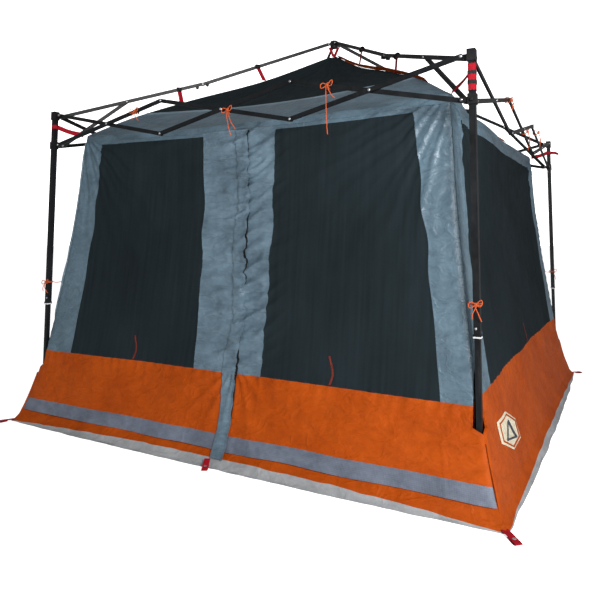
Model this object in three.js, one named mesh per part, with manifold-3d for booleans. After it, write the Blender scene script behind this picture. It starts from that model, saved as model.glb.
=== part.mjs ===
// Pop up tent: a four-legged scissor frame with a cabin tent hung inside it.
// Millimetres, +Z up, the origin on the ground under the middle of the frame, the doors towards -Y.
import * as THREE from "three";
import { mergeVertices } from "three/addons/utils/BufferGeometryUtils.js";
import Module from "manifold-3d";

const wasm = await Module();
wasm.setup();

// ---- driving dimensions ----
const LEG_OFFSET = 1450; // leg axis from the middle, along X and along Y
const CAP_PIVOT_Z = 2050; // pivots of the fixed brackets on the leg tops
const X_RISE = 207.4; // height of one scissor cross when the frame is open
const CROSSES = 3; // scissor crosses on each side
const PIVOT_OUT = 50; // side pivot from the leg axis
const DIAGONAL_OUT = 55; // rafter pivot from the leg axis
const HUB_OUT = 50; // rafter pivot from the hub's axis
const HUB_RISE = 720; // hub pivots above the cap pivots
const RAFTER_LOWER = 1000; // lower rafter bar, pivot to pivot
const RAFTER_SLOPE = 18; // slope of the lower rafter bar, degrees
const STRUT_STATION = 434.9; // strut pivot along the lower rafter bar

const BAR_HEIGHT = 24;
const BAR_THICK = 11;
const BAR_GAP = 1; // between two bars that cross
const PIN_RADIUS = 2.8;
const PIN_HOLE_RADIUS = 3.4;
const HEAD_RADIUS = 6.5;
const HEAD_THICK = 2.2;
const RUNNING = 0.3; // clearance between pieces that touch
const ROUND_STEPS = 5; // steps in a bar's rounded end
const PIN_SIDES = 10;

const TUBE_OUTER = 30; // outer leg tube, square
const TUBE_WALL = 1.8;
const TUBE_BOTTOM_Z = 755;
const TUBE_TOP_Z = 2073;
const TUBE_INNER = 25; // inner leg tube, square
const INSERTED = 120; // inner tube inside the outer one when the leg is drawn out
const COLLAR_SIZE = 35;
const COLLAR_HEIGHT = 16;
const FOOT_SIZE = 80;
const FOOT_THICK = 4;
const SLEEVE_SIZE = 40; // cap and slider bodies, square
const SLIDER_HEIGHT = 50;
const CAP_BOTTOM_Z = 2022;
const CAP_TOP_Z = 2079;
const LUG_HEIGHT = 22;
const HUB_RADIUS = 30;
const HUB_HEIGHT = 56;
const HUB_SIDES = 16;

const FABRIC = 2.5; // thickness that stands for the cloth
const FLOOR_THICK = 3;
const FLOOR_HALF = 1585;
const FLOOR_NOTCH = 1385; // the floor is cut back to this at its corners, round the feet
const SILL_Y = 1522;
const SILL_HALF = 1370;
const SILL_TOP = 57;
const ZIP_TOP_X = 85; // where the two doors meet, at the top and at the bottom
const ZIP_BOTTOM_X = 125;
const DOOR_GAP = 2;
const DOOR_BOTTOM_Z = 70;
const WALL_BOTTOM_Z = 6;
const WALL_TOP_Z = 1872;
const SEAM_GAP = 1.5; // between two walls at a corner
const LEG_SLIT = 22; // half width of the slit that a leg passes through
const LEG_SLIT_Z = [230, 735];

// Half width of the tent at each height, from the ground up to the eaves.
const WALL_PROFILE = [
  { z: 0, half: 1572 },
  { z: 120, half: 1535 },
  { z: 455, half: 1460 },
  { z: 900, half: 1398 },
  { z: 1200, half: 1362 },
  { z: 1500, half: 1336 },
  { z: WALL_TOP_Z, half: 1314 },
];
// The roof with its band, from the band's lower edge up to the peak.
const ROOF_PROFILE = [
  { z: WALL_TOP_Z + DOOR_GAP, half: 1314 },
  { z: 1922, half: 1310 },
  { z: 2075, half: 1080 },
  { z: 2212, half: 830 },
  { z: 2425, half: 400 },
  { z: 2665, half: 24 },
];

// ---- derived dimensions ----
const SPAN = 2 * LEG_OFFSET;
const CROSS_WIDTH = (SPAN - 2 * PIVOT_OUT) / CROSSES;
const ARM_LENGTH = Math.hypot(CROSS_WIDTH, X_RISE);
const ARM_ANGLE = Math.atan2(X_RISE, CROSS_WIDTH);
const SLIDER_PIVOT_Z = CAP_PIVOT_Z - X_RISE;
const DIAGONAL = LEG_OFFSET * Math.SQRT2;
const HUB_PIVOT_Z = CAP_PIVOT_Z + HUB_RISE;

// ---- solids ----
function solidOf(geometry) {
  const bare = geometry.index ? geometry.toNonIndexed() : geometry.clone();
  bare.deleteAttribute("normal");
  bare.deleteAttribute("uv");
  const merged = mergeVertices(bare, 1e-3);
  return new wasm.Manifold(
    new wasm.Mesh({
      numProp: 3,
      vertProperties: merged.attributes.position.array,
      triVerts: new Uint32Array(merged.index.array),
    }),
  );
}

function geometryOf(solid) {
  const mesh = solid.getMesh();
  const geometry = new THREE.BufferGeometry();
  geometry.setAttribute("position", new THREE.BufferAttribute(new Float32Array(mesh.vertProperties), 3));
  geometry.setIndex(new THREE.BufferAttribute(new Uint32Array(mesh.triVerts), 1));
  const faceted = geometry.toNonIndexed();
  faceted.computeVertexNormals();
  return faceted;
}

function join(pieces) {
  return pieces.reduce((whole, piece) => whole.add(piece));
}

function cut(whole, tools) {
  return tools.reduce((left, tool) => left.subtract(tool), whole);
}

// A block given by its lowest and highest corner.
function block(low, high) {
  const [sx, sy, sz] = high.map((h, i) => h - low[i]);
  const [cx, cy, cz] = high.map((h, i) => (h + low[i]) / 2);
  return solidOf(new THREE.BoxGeometry(sx, sy, sz).translate(cx, cy, cz));
}

// A square column round (x, y).
function column(x, y, size, zLow, zHigh) {
  const half = size / 2;
  return block([x - half, y - half, zLow], [x + half, y + half, zHigh]);
}

// ---- bars, pins and lugs, in a linkage's own frame: x along it, y across it, z up ----
// A bar lies in one of two layers: the pin layer at +y, whose bars carry the pins, and the hole layer at -y.
const PIN_LAYER = 1;
const HOLE_LAYER = -1;

function roundedStrip(x0, x1, z, height, layer) {
  const r = height / 2;
  const shape = new THREE.Shape();
  shape.absarc(x0, z, r, Math.PI / 2, (3 * Math.PI) / 2, false);
  shape.absarc(x1, z, r, -Math.PI / 2, Math.PI / 2, false);
  const geometry = new THREE.ExtrudeGeometry(shape, {
    depth: BAR_THICK,
    bevelEnabled: false,
    curveSegments: ROUND_STEPS,
  });
  geometry.rotateX(Math.PI / 2); // the strip now runs from y = 0 to y = -BAR_THICK
  const farSide = layer === PIN_LAYER ? BAR_GAP / 2 + BAR_THICK : -BAR_GAP / 2;
  return solidOf(geometry.translate(0, farSide, 0));
}

function acrossRod(x, z, radius, yLow, yHigh) {
  const geometry = new THREE.CylinderGeometry(radius, radius, yHigh - yLow, PIN_SIDES);
  return solidOf(geometry.translate(x, (yLow + yHigh) / 2, z));
}

// The pin runs from its own layer through the other one, with a head on both ends.
function pin(x, z) {
  const outside = BAR_GAP / 2 + BAR_THICK;
  const innerHead = -outside - RUNNING;
  return join([
    acrossRod(x, z, PIN_RADIUS, innerHead - HEAD_THICK / 2, outside),
    acrossRod(x, z, HEAD_RADIUS, innerHead - HEAD_THICK, innerHead),
    acrossRod(x, z, HEAD_RADIUS, outside - HEAD_THICK / 2, outside + HEAD_THICK),
  ]);
}

function pinHole(x, z) {
  const outside = BAR_GAP / 2 + BAR_THICK + 1;
  return acrossRod(x, z, PIN_HOLE_RADIUS, -outside, 0);
}

// One head of a split rivet, on the outer side of a bar that parts from its neighbour as the frame folds.
function splitHead(x, z, layer) {
  const outside = BAR_GAP / 2 + BAR_THICK;
  const [low, high] = [outside - HEAD_THICK / 2, outside + HEAD_THICK];
  if (layer === PIN_LAYER) return acrossRod(x, z, HEAD_RADIUS, low, high);
  return acrossRod(x, z, HEAD_RADIUS, -high, -low);
}

// A straight bar from x = 0 to x = length with a pin or a hole at each station, and a split rivet at others.
function bar(length, stations, layer, splitStations = []) {
  const strip = roundedStrip(0, length, 0, BAR_HEIGHT, layer);
  const whole = join([strip, ...splitStations.map((s) => splitHead(s, 0, layer))]);
  if (layer === PIN_LAYER) return join([whole, ...stations.map((s) => pin(s, 0))]);
  return cut(
    whole,
    stations.map((s) => pinHole(s, 0)),
  );
}

// A bracket's ear, from the body at xBody to the pivot at xPivot.
function lug(xBody, xPivot, z, layer, split = false) {
  const strip = roundedStrip(Math.min(xBody, xPivot), Math.max(xBody, xPivot), z, LUG_HEIGHT, layer);
  if (split) return join([strip, splitHead(xPivot, z, layer)]);
  return layer === PIN_LAYER ? join([strip, pin(xPivot, z)]) : cut(strip, [pinHole(xPivot, z)]);
}

// ---- frames of reference ----
// Turns a linkage's own frame so that x runs along the heading, and moves it to (x, y).
function placement(x, y, headingX, headingY, mirrored = false) {
  const turn = new THREE.Matrix4().makeRotationZ(Math.atan2(headingY, headingX));
  const flip = new THREE.Matrix4().makeScale(1, mirrored ? -1 : 1, 1);
  return new THREE.Matrix4().makeTranslation(x, y, 0).multiply(turn).multiply(flip);
}

// A bar's place in its linkage: its first pivot at (x, z), sloping up by angle.
function slope(x, z, angle) {
  const turn = new THREE.Matrix4().makeRotationY(-angle);
  return new THREE.Matrix4().makeTranslation(x, 0, z).multiply(turn);
}

function placed(solid, ...matrices) {
  const whole = matrices.reduce((a, b) => a.clone().multiply(b));
  return solid.transform(whole.elements);
}

const CORNERS = {
  fl: { x: -LEG_OFFSET, y: -LEG_OFFSET },
  fr: { x: LEG_OFFSET, y: -LEG_OFFSET, mirrored: true },
  br: { x: LEG_OFFSET, y: LEG_OFFSET },
  bl: { x: -LEG_OFFSET, y: LEG_OFFSET },
};
const SIDES = {
  front: { start: "fl", end: "fr" },
  left: { start: "fl", end: "bl" },
  right: { start: "fr", end: "br" },
  back: { start: "bl", end: "br" },
};
for (const side of Object.values(SIDES)) {
  const a = CORNERS[side.start];
  const b = CORNERS[side.end];
  side.frame = placement(a.x, a.y, b.x - a.x, b.y - a.y);
}
for (const corner of Object.values(CORNERS)) {
  corner.frame = placement(corner.x, corner.y, -corner.x, -corner.y, corner.mirrored);
}

// ---- materials ----
const FINISHES = {
  steel: { color: 0x1d1f22, roughness: 0.42, metalness: 0.35 },
  plastic: { color: 0x151618, roughness: 0.55, metalness: 0 },
  cloth: { color: 0x5d6f7c, roughness: 0.85, metalness: 0 },
  netting: { color: 0x24282c, roughness: 0.95, metalness: 0 },
  groundsheet: { color: 0xb4541d, roughness: 0.8, metalness: 0 },
};

const tent = new THREE.Group();

function add(name, solid, finish) {
  const mesh = new THREE.Mesh(geometryOf(solid), new THREE.MeshStandardMaterial(FINISHES[finish]));
  mesh.name = name;
  tent.add(mesh);
}

// ---- legs, caps and sliders ----
function outerLeg({ x, y }) {
  const tube = column(x, y, TUBE_OUTER, TUBE_BOTTOM_Z, TUBE_TOP_Z);
  const collar = column(x, y, COLLAR_SIZE, TUBE_BOTTOM_Z, TUBE_BOTTOM_Z + COLLAR_HEIGHT);
  const bore = column(x, y, TUBE_OUTER - 2 * TUBE_WALL, TUBE_BOTTOM_Z - 1, TUBE_TOP_Z + 1);
  return join([tube, collar]).subtract(bore);
}

function innerLeg({ x, y }) {
  const top = TUBE_BOTTOM_Z + INSERTED;
  const tube = column(x, y, TUBE_INNER, FOOT_THICK / 2, top);
  const bore = column(x, y, TUBE_INNER - 2 * TUBE_WALL, FOOT_THICK, top + 1);
  return join([tube.subtract(bore), column(x, y, FOOT_SIZE, 0, FOOT_THICK)]);
}

// The three ears of a bracket at one corner: one to each side of the frame and one to the rafter or strut.
function ears(name, z, startLayer, endLayer, diagonalLayer, diagonalSplit) {
  const pieces = [];
  for (const side of Object.values(SIDES)) {
    if (side.start === name) pieces.push(placed(lug(SLEEVE_SIZE / 4, PIVOT_OUT, z, startLayer), side.frame));
    if (side.end === name) {
      pieces.push(placed(lug(SPAN - SLEEVE_SIZE / 4, SPAN - PIVOT_OUT, z, endLayer), side.frame));
    }
  }
  const diagonalLug = lug(SLEEVE_SIZE / 4, DIAGONAL_OUT, z, diagonalLayer, diagonalSplit);
  pieces.push(placed(diagonalLug, CORNERS[name].frame));
  return pieces;
}

function cap(name) {
  const { x, y } = CORNERS[name];
  const body = column(x, y, SLEEVE_SIZE, CAP_BOTTOM_Z, CAP_TOP_Z);
  const socket = column(x, y, TUBE_OUTER + 2 * RUNNING, CAP_BOTTOM_Z - 1, TUBE_TOP_Z + RUNNING);
  return join([body, ...ears(name, CAP_PIVOT_Z, HOLE_LAYER, PIN_LAYER, PIN_LAYER, false)]).subtract(socket);
}

function slider(name) {
  const { x, y } = CORNERS[name];
  const low = SLIDER_PIVOT_Z - SLIDER_HEIGHT / 2;
  const body = column(x, y, SLEEVE_SIZE, low, low + SLIDER_HEIGHT);
  const bore = column(x, y, TUBE_OUTER + 3 * RUNNING, low - 1, low + SLIDER_HEIGHT + 1);
  return join([body, ...ears(name, SLIDER_PIVOT_Z, PIN_LAYER, HOLE_LAYER, HOLE_LAYER, true)]).subtract(bore);
}

for (const [name, corner] of Object.entries(CORNERS)) {
  add("leg_outer_" + name, outerLeg(corner), "steel");
  add("leg_inner_" + name, innerLeg(corner), "steel");
  add("cap_" + name, cap(name), "plastic");
  add("slider_" + name, slider(name), "plastic");
}

// ---- scissor arms: six to a side, falling ones in the pin layer and rising ones in the hole layer ----
const SCISSOR = [
  { cross: 0, falls: true },
  { cross: 0, falls: false },
  { cross: 1, falls: false },
  { cross: 1, falls: true },
  { cross: 2, falls: true },
  { cross: 2, falls: false },
];
for (const [sideName, side] of Object.entries(SIDES)) {
  SCISSOR.forEach(({ cross, falls }, i) => {
    const layer = falls ? PIN_LAYER : HOLE_LAYER;
    const arm = bar(ARM_LENGTH, [0, ARM_LENGTH / 2, ARM_LENGTH], layer);
    const x = PIVOT_OUT + cross * CROSS_WIDTH;
    const z = falls ? CAP_PIVOT_Z : SLIDER_PIVOT_Z;
    const angle = falls ? -ARM_ANGLE : ARM_ANGLE;
    add("arm_" + sideName + "_" + (i + 1), placed(arm, side.frame, slope(x, z, angle)), "steel");
  });
}

// ---- rafters and struts, one set in each corner's upright diagonal plane ----
const rafterAngle = THREE.MathUtils.degToRad(RAFTER_SLOPE);
const middle = {
  x: DIAGONAL_OUT + RAFTER_LOWER * Math.cos(rafterAngle),
  z: CAP_PIVOT_Z + RAFTER_LOWER * Math.sin(rafterAngle),
};
const crown = { x: DIAGONAL - HUB_OUT, z: HUB_PIVOT_Z };
const strutTop = {
  x: DIAGONAL_OUT + STRUT_STATION * Math.cos(rafterAngle),
  z: CAP_PIVOT_Z + STRUT_STATION * Math.sin(rafterAngle),
};
const strutFoot = { x: DIAGONAL_OUT, z: SLIDER_PIVOT_Z };

// A bar between two points of the diagonal plane, with pivots and split rivets at points along it.
function diagonalBar(corner, from, to, layer, pivots, splits) {
  const along = (point) => Math.hypot(point.x - from.x, point.z - from.z);
  const angle = Math.atan2(to.z - from.z, to.x - from.x);
  const piece = bar(along(to), pivots.map(along), layer, splits.map(along));
  return placed(piece, corner.frame, slope(from.x, from.z, angle));
}

const rafterFoot = { x: DIAGONAL_OUT, z: CAP_PIVOT_Z };
for (const [name, corner] of Object.entries(CORNERS)) {
  const [held, parting] = name === "fl" ? [[middle], []] : [[], [middle]];
  const lower = diagonalBar(corner, rafterFoot, middle, HOLE_LAYER, [rafterFoot, strutTop, ...held], parting);
  const upper = diagonalBar(corner, middle, crown, PIN_LAYER, [...held, crown], parting);
  add("rafter_lower_" + name, lower, "steel");
  add("rafter_upper_" + name, upper, "steel");
  add("strut_" + name, diagonalBar(corner, strutTop, strutFoot, PIN_LAYER, [strutTop], [strutFoot]), "steel");
}

function hub() {
  const body = new THREE.CylinderGeometry(HUB_RADIUS, HUB_RADIUS, HUB_HEIGHT, HUB_SIDES);
  body.rotateX(Math.PI / 2).translate(0, 0, HUB_PIVOT_Z);
  const hubLug = () => lug(DIAGONAL - HUB_RADIUS / 3, DIAGONAL - HUB_OUT, HUB_PIVOT_Z, HOLE_LAYER);
  return join([solidOf(body), ...Object.values(CORNERS).map((corner) => placed(hubLug(), corner.frame))]);
}
add("hub", hub(), "plastic");

// ---- tent ----
// The tent's half width at height z.
function halfWidth(z) {
  const above = WALL_PROFILE.findIndex((row) => row.z >= z);
  if (above <= 0) return WALL_PROFILE[0].half;
  const a = WALL_PROFILE[above - 1];
  const b = WALL_PROFILE[above];
  return a.half + ((b.half - a.half) * (z - a.z)) / (b.z - a.z);
}

// A closed solid through a stack of four-cornered rings, each given as four [x, y, z] going anticlockwise.
function loft(rings) {
  const positions = [];
  const quad = (a, b, c, d) => positions.push(...a, ...b, ...c, ...a, ...c, ...d);
  for (let i = 0; i + 1 < rings.length; i++) {
    for (let k = 0; k < 4; k++) {
      const next = (k + 1) % 4;
      quad(rings[i][k], rings[i][next], rings[i + 1][next], rings[i + 1][k]);
    }
  }
  quad(...[...rings[0]].reverse());
  quad(...rings[rings.length - 1]);
  const geometry = new THREE.BufferGeometry();
  geometry.setAttribute("position", new THREE.Float32BufferAttribute(positions, 3));
  return solidOf(geometry);
}

// A leaning panel of the wall that faces -Y, from zLow up to the top of the walls.
function panel(zLow, leftEdge, rightEdge) {
  const heights = [zLow, ...WALL_PROFILE.map((row) => row.z).filter((z) => z > zLow + 1)];
  return loft(
    heights.map((z) => {
      const outer = -halfWidth(z);
      const inner = outer + FABRIC;
      return [
        [leftEdge(z), outer, z],
        [rightEdge(z), outer, z],
        [rightEdge(z), inner, z],
        [leftEdge(z), inner, z],
      ];
    }),
  );
}

const legSlits = Object.values(CORNERS).map(({ x, y }) => column(x, y, 2 * LEG_SLIT, ...LEG_SLIT_Z));
const zipX = (z) => ZIP_BOTTOM_X + ((ZIP_TOP_X - ZIP_BOTTOM_X) * z) / WALL_TOP_Z;

function turned(solid, quarterTurns) {
  const turn = new THREE.Matrix4().makeRotationZ((quarterTurns * Math.PI) / 2);
  return placed(solid, turn);
}

const doorLeft = panel(DOOR_BOTTOM_Z, (z) => -halfWidth(z), (z) => zipX(z) - DOOR_GAP / 2);
const doorRight = panel(DOOR_BOTTOM_Z, (z) => zipX(z) + DOOR_GAP / 2, halfWidth);
const fullEdge = (sign) => (z) => sign * halfWidth(z);
const tuckedEdge = (sign) => (z) => sign * (halfWidth(z) - FABRIC - SEAM_GAP);
const backWall = panel(WALL_BOTTOM_Z, fullEdge(-1), fullEdge(1));
const sideWall = panel(WALL_BOTTOM_Z, tuckedEdge(-1), tuckedEdge(1));
add("door_left", cut(doorLeft, legSlits), "netting");
add("door_right", cut(doorRight, legSlits), "netting");
add("wall_right", cut(turned(sideWall, 1), legSlits), "netting");
add("wall_back", cut(turned(backWall, 2), legSlits), "netting");
add("wall_left", cut(turned(sideWall, 3), legSlits), "netting");

function squareRing(half, z) {
  return [
    [-half, -half, z],
    [half, -half, z],
    [half, half, z],
    [-half, half, z],
  ];
}

function roof() {
  const outer = loft(ROOF_PROFILE.map(({ half, z }) => squareRing(half, z)));
  const insideRings = ROOF_PROFILE.map(({ half, z }, i) => squareRing(half - FABRIC, i ? z - FABRIC : z - 1));
  return outer.subtract(loft(insideRings));
}
add("roof", roof(), "cloth");

// The floor sheet, notched at its corners round the feet, with a low sill under the doors.
function floorSheet() {
  const sheet = block([-FLOOR_HALF, -FLOOR_HALF, 0], [FLOOR_HALF, FLOOR_HALF, FLOOR_THICK]);
  const reach = 2 * (FLOOR_HALF - FLOOR_NOTCH);
  const notches = Object.values(CORNERS).map(({ x, y }) => {
    const cx = Math.sign(x) * FLOOR_HALF;
    const cy = Math.sign(y) * FLOOR_HALF;
    return column(cx, cy, reach, -1, FLOOR_THICK + 1);
  });
  const sill = block([-SILL_HALF, -SILL_Y, FLOOR_THICK / 2], [SILL_HALF, -SILL_Y + FLOOR_THICK, SILL_TOP]);
  return join([cut(sheet, notches), sill]);
}
add("floor", floorSheet(), "groundsheet");

export default tent;
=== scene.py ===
"""Pop up tent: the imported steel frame, dressed with the cabin tent, its straps, ties and fittings."""
import math

import bpy
import numpy as np
from mathutils import Matrix, Vector, noise


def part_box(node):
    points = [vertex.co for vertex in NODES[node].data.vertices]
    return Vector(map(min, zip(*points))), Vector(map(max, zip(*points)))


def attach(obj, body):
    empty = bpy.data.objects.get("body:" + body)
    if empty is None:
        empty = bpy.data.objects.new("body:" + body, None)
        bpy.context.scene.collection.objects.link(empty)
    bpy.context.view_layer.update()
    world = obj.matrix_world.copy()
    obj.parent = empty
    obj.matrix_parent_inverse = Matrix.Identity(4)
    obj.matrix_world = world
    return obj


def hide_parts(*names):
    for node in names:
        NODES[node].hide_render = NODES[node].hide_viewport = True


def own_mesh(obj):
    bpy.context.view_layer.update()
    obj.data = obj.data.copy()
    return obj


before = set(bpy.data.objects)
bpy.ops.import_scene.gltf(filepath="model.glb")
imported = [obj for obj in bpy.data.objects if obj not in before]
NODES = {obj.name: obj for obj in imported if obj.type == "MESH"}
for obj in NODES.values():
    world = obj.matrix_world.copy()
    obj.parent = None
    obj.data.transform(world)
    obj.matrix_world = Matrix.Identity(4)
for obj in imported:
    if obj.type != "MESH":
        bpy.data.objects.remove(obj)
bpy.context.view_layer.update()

# ---- places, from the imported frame, in metres ----
HUB_LOW, HUB_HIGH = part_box("hub")
ARM_LOW, ARM_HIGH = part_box("arm_front_1")
ARM_END = 0.012  # an arm's end beyond its pivot
LEG = 1.45  # leg axis from the middle, along X and along Y
CAP_Z = ARM_HIGH.z - ARM_END  # side pivots on the caps
SLIDER_Z = ARM_LOW.z + ARM_END  # side pivots on the sliders
HUB_Z = (HUB_LOW.z + HUB_HIGH.z) / 2
TUBE_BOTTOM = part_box("leg_outer_fl")[0].z
PIVOT_OUT = 0.05  # side pivots from a leg's axis
CROSS = (2 * LEG - 2 * PIVOT_OUT) / 3  # one cross of a side's linkage
CORNERS = {"fl": (-1, -1), "fr": (1, -1), "br": (1, 1), "bl": (-1, 1)}
LEG_BODY = {"fl": "frame", "fr": "leg_fr", "br": "leg_br", "bl": "leg_bl"}
QUARTER = {"front": 0, "right": 1, "back": 2, "left": 3}  # quarter turns from the front
SEED = {side: 1.0 + 20 * quarter for side, quarter in QUARTER.items()}  # of each side's folds

# ---- camera ----
TILT_UP, TURN = 0.0821, 0.4827
camera = bpy.data.objects.new("camera", bpy.data.cameras.new("camera"))
camera.data.sensor_width = 36.0
camera.data.lens = 34.632
camera.data.shift_x = -0.0423
camera.data.shift_y = -0.1819
camera.data.clip_end = 100
camera.location = (2.0667, -4.0964, 1.1997)
camera.rotation_euler = (math.pi / 2 + TILT_UP, 0, TURN)
bpy.context.scene.collection.objects.link(camera)
bpy.context.scene.camera = camera


# ---- materials ----
def srgb(r, g, b):
    def line(c):
        c /= 255
        return c / 12.92 if c <= 0.04045 else ((c + 0.055) / 1.055) ** 2.4
    return (line(r), line(g), line(b), 1.0)


def gray(value):
    return (value, value, value, 1)


class Shade:
    """A Principled material and short calls that add nodes to it."""

    def __init__(self, name, roughness=0.5, specular=0.5, metallic=0.0):
        self.material = bpy.data.materials.new(name)
        self.material.use_nodes = True
        self.nodes = self.material.node_tree.nodes
        self.shader = self.nodes["Principled BSDF"]
        self.shader.inputs["Roughness"].default_value = roughness
        self.shader.inputs["Specular IOR Level"].default_value = specular
        self.shader.inputs["Metallic"].default_value = metallic
        coordinates = self.nodes.new("ShaderNodeTexCoord")
        self.uv = coordinates.outputs["UV"]
        self.object = coordinates.outputs["Object"]

    def feed(self, socket, value):
        """Sets a socket to a constant, or links it."""
        if isinstance(value, (int, float, tuple)):
            socket.default_value = value
        else:
            self.material.node_tree.links.new(value, socket)

    def add(self, kind, **inputs):
        node = self.nodes.new("ShaderNode" + kind)
        for socket, value in inputs.items():
            self.feed(node.inputs[socket], value)
        return node

    def stretch(self, vector, scale):
        return self.add("Mapping", Vector=vector, Scale=scale).outputs["Vector"]

    def noise(self, vector, scale, detail=3.0, roughness=0.55, distortion=0.0):
        node = self.add("TexNoise", Vector=vector, Scale=scale, Detail=detail, Roughness=roughness,
                        Distortion=distortion)
        return node.outputs["Fac"]

    def thread(self, vector, pitch, axis, distortion=0.0):
        """Parallel threads, one every pitch metres, across an axis."""
        node = self.add("TexWave", Vector=vector, Scale=math.pi / 10 / pitch, Distortion=distortion)
        node.bands_direction = axis
        return node.outputs["Fac"]

    def weave(self, pitch, distortion=0.0):
        """Threads both ways."""
        return self.math("MAXIMUM", self.thread(self.uv, pitch, "X", distortion),
                         self.thread(self.uv, pitch, "Y", distortion))

    def math(self, operation, a, b=0.0):
        node = self.add("Math")
        node.operation = operation
        self.feed(node.inputs[0], a)
        self.feed(node.inputs[1], b)
        return node.outputs[0]

    def shared(self, a, b, share):
        """One value's share plus the rest of another."""
        return self.math("ADD", self.math("MULTIPLY", a, share), self.math("MULTIPLY", b, 1 - share))

    def ramp(self, factor, *stops):
        node = self.add("ValToRGB", Fac=factor)
        for element, (place, colour) in zip(node.color_ramp.elements, stops):
            element.position = place
            element.color = colour
        return node.outputs["Color"]

    def shine(self, vector, scale, limits):
        """A roughness that wanders between two limits."""
        low, high = limits
        return self.ramp(self.noise(vector, scale), (0.3, gray(low)), (0.7, gray(high)))

    def mix(self, factor, a, b, kind="MIX"):
        node = self.add("Mix")
        node.data_type = "RGBA"
        node.blend_type = kind
        for number, value in ((0, factor), (6, a), (7, b)):
            self.feed(node.inputs[number], value)
        return node.outputs[2]

    def bump(self, height, distance, strength, under=None):
        node = self.add("Bump", Height=height, Distance=distance, Strength=strength)
        if under is not None:
            self.feed(node.inputs["Normal"], under)
        return node.outputs["Normal"]

    def glow(self, colour, strength):
        self.feed(self.shader.inputs["Emission Color"], colour)
        self.feed(self.shader.inputs["Emission Strength"], strength)

    def finish(self, colour, normal=None, roughness=None):
        for socket, source in (("Base Color", colour), ("Normal", normal), ("Roughness", roughness)):
            if source is not None:
                self.feed(self.shader.inputs[socket], source)
        return self.material


def cloth(name, dark, light, pitch=0.0022, roughness=(0.42, 0.6), crumple=0.0035, specular=0.45,
          weave_contrast=0.1, weave_depth=0.00035, pull=(1.0, 1.6, 1.0), shade=0.25):
    """Woven cloth: blotches of colour, threads both ways, crumples with painted shade in their hollows, a
    broken shine.
    """
    s = Shade(name, specular=specular)
    blotch = s.noise(s.uv, 3.5, 4.0, 0.6)
    streak = s.noise(s.stretch(s.uv, (9.0, 14.0, 1.0)), 3.0)
    colour = s.ramp(s.shared(blotch, streak, 0.75), (0.34, srgb(*dark)), (0.68, srgb(*light)))
    weave = s.weave(pitch, 0.4)
    colour = s.mix(weave_contrast, colour, s.ramp(weave, (0.0, gray(0.55)), (0.9, gray(1))), "MULTIPLY")
    folds = s.noise(s.stretch(s.uv, pull), 12.0, 4.0, 0.6, 0.5)
    fine = s.noise(s.stretch(s.uv, (1.0, 1.5, 1.0)), 46.0)
    winding = s.math("SUBTRACT", s.noise(s.stretch(s.uv, pull), 7.5, 3.0, 0.5, 0.8), 0.5)
    valleys = s.math("MINIMUM", s.math("MULTIPLY", s.math("ABSOLUTE", winding), 5.0), 0.5)
    ridges = s.math("SUBTRACT", 0.5, valleys)
    # painted shade: the fold noise's hollows darken the colour by the shade share
    painted_hollow_shade = s.ramp(folds, (0.30, (0.45, 0.47, 0.5, 1)), (0.56, gray(1)))
    colour = s.mix(shade, colour, painted_hollow_shade, "MULTIPLY")
    relief = s.bump(folds, crumple, 0.8)
    relief = s.bump(ridges, crumple * 0.7, 0.9, relief)
    relief = s.bump(fine, crumple * 0.28, 0.8, relief)
    relief = s.bump(weave, weave_depth, 0.5, relief)
    return s.finish(colour, relief, s.shine(s.uv, 9.0, roughness))


def netting(name, dark, light, inside_shade_colour):
    """Insect mesh: a fine grid of threads, with painted shade of the tent's dark inside in the holes
    between them.
    """
    s = Shade(name, specular=0.03)
    grid = s.weave(0.0026)
    cloud = s.noise(s.uv, 1.4, 3.0, 0.5)
    streak = s.noise(s.stretch(s.uv, (16.0, 0.5, 1.0)), 3.0, 2.0)
    colour = s.ramp(s.shared(cloud, streak, 0.6), (0.30, srgb(*dark)), (0.70, srgb(*light)))
    # painted shade: the holes between the threads take the dark colour of the unlit inside
    colour = s.mix(0.35, colour, s.ramp(grid, (0.25, srgb(*inside_shade_colour)), (0.8, gray(1))), "MULTIPLY")
    relief = s.bump(s.noise(s.stretch(s.uv, (1.0, 0.35, 1.0)), 9.0), 0.004, 0.7)
    relief = s.bump(grid, 0.0004, 0.6, relief)
    return s.finish(colour, relief, s.shine(s.uv, 6.0, (0.62, 0.82)))


def webbing(name, dark, light, pitch=0.0016):
    """Flat woven tape with ribs across it."""
    s = Shade(name, roughness=0.62, specular=0.15)
    ribs = s.thread(s.uv, pitch, "Y", 0.3)
    edge = s.thread(s.uv, pitch * 2.6, "X")
    tone = s.shared(ribs, s.noise(s.uv, 60.0), 0.45)
    relief = s.bump(edge, 0.0003, 0.6, s.bump(ribs, 0.0005, 0.9))
    return s.finish(s.ramp(tone, (0.25, srgb(*dark)), (0.75, srgb(*light))), relief)


def coated(name, dark, light, roughness=(0.3, 0.5), grain=420.0, metallic=0.0, specular=0.5, scratch=0.15):
    """Powder coat or moulded plastic: fine peel, cloudy dust and rubbed streaks."""
    s = Shade(name, specular=specular, metallic=metallic)
    colour = s.ramp(s.noise(s.object, 6.0, 4.0, 0.6), (0.35, srgb(*dark)), (0.7, srgb(*light)))
    streak = s.noise(s.stretch(s.object, (60.0, 60.0, 4.0)), 1.0)
    colour = s.mix(s.ramp(streak, (0.62, gray(0)), (0.78, gray(scratch))), colour, srgb(120, 122, 125))
    relief = s.bump(s.noise(s.object, grain, 2.0), 0.00012, 0.8)
    return s.finish(colour, relief, s.shine(s.object, 24.0, roughness))


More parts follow.
